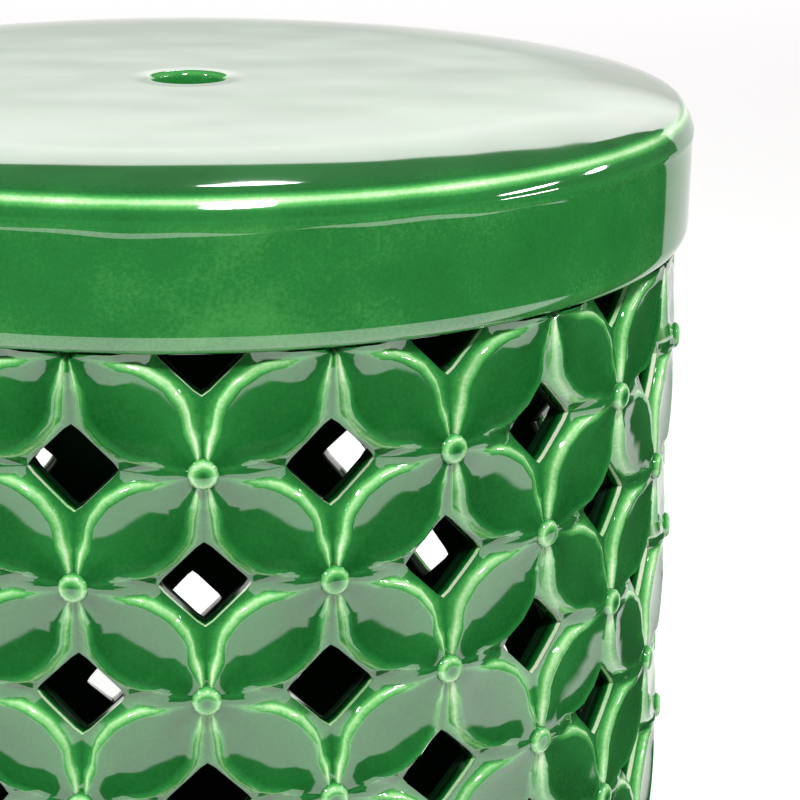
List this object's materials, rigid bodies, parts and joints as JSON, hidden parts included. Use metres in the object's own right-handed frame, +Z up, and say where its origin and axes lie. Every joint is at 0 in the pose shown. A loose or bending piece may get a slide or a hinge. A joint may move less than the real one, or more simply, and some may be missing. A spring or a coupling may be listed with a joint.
{
  "type": "ceramic garden stool",
  "caption": "Round glazed ceramic garden stool: crowned seat with a finger hole, plain bands, and a pierced wall of four-petal flowers with bosses.",
  "frame": {"origin": "on the floor, at the centre of the foot ring", "axes": "+Z up along the stool's axis; -Y faces the viewer of the picture, with a column of holes below the upper band there"},
  "size_m": [0.3344, 0.3344, 0.45],
  "materials": {
    "green_glaze": "glossy translucent green glaze over a white body, dark where it pools and pale on edges",
    "bare_foot": "unglazed off-white fired clay"
  },
  "bodies": {
    "root": {"seat_slab": "green_glaze", "upper_band": "green_glaze", "pierced_wall": "green_glaze", "bosses": "green_glaze", "lower_band": "green_glaze", "foot_ring": "bare_foot"}
  },
  "joints": []
}
